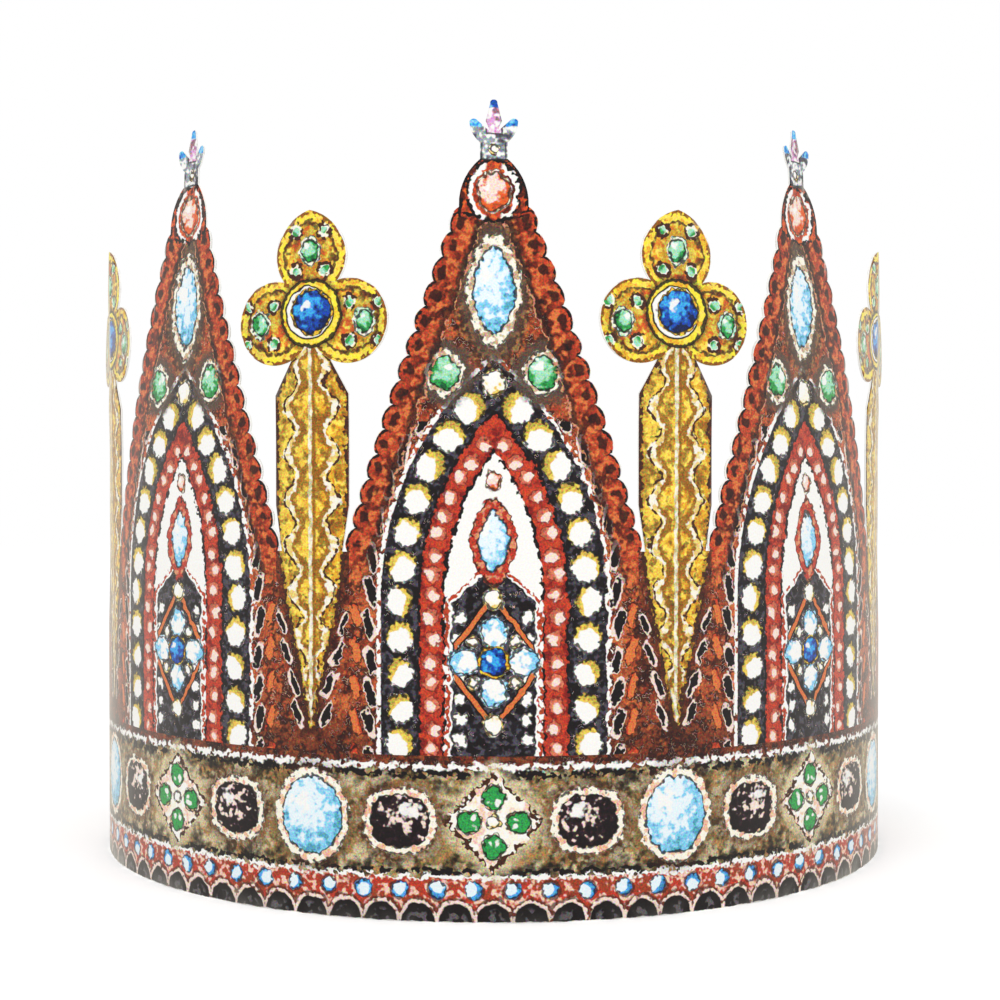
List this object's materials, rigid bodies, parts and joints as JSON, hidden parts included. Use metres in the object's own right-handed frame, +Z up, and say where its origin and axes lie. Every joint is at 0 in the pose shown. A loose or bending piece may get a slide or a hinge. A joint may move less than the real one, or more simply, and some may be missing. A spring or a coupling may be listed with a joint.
{
  "type": "paper crown",
  "caption": "Open paper crown: one die-cut strip of printed card curled into a ring, with tall scalloped gables and trefoil posts in front and a low glued strap behind.",
  "frame": {"origin": "middle of the ring, on the plane of its bottom rim", "axes": "+Z up along the ring's axis, -Y from the middle towards the front gable, +X to the right seen from the front"},
  "size_m": [0.1836, 0.1836, 0.1576],
  "materials": {
    "printed_card": "smooth card printed in matt inks on its outside, bare white inside"
  },
  "bodies": {
    "root": {"crown": "printed_card"}
  },
  "joints": []
}
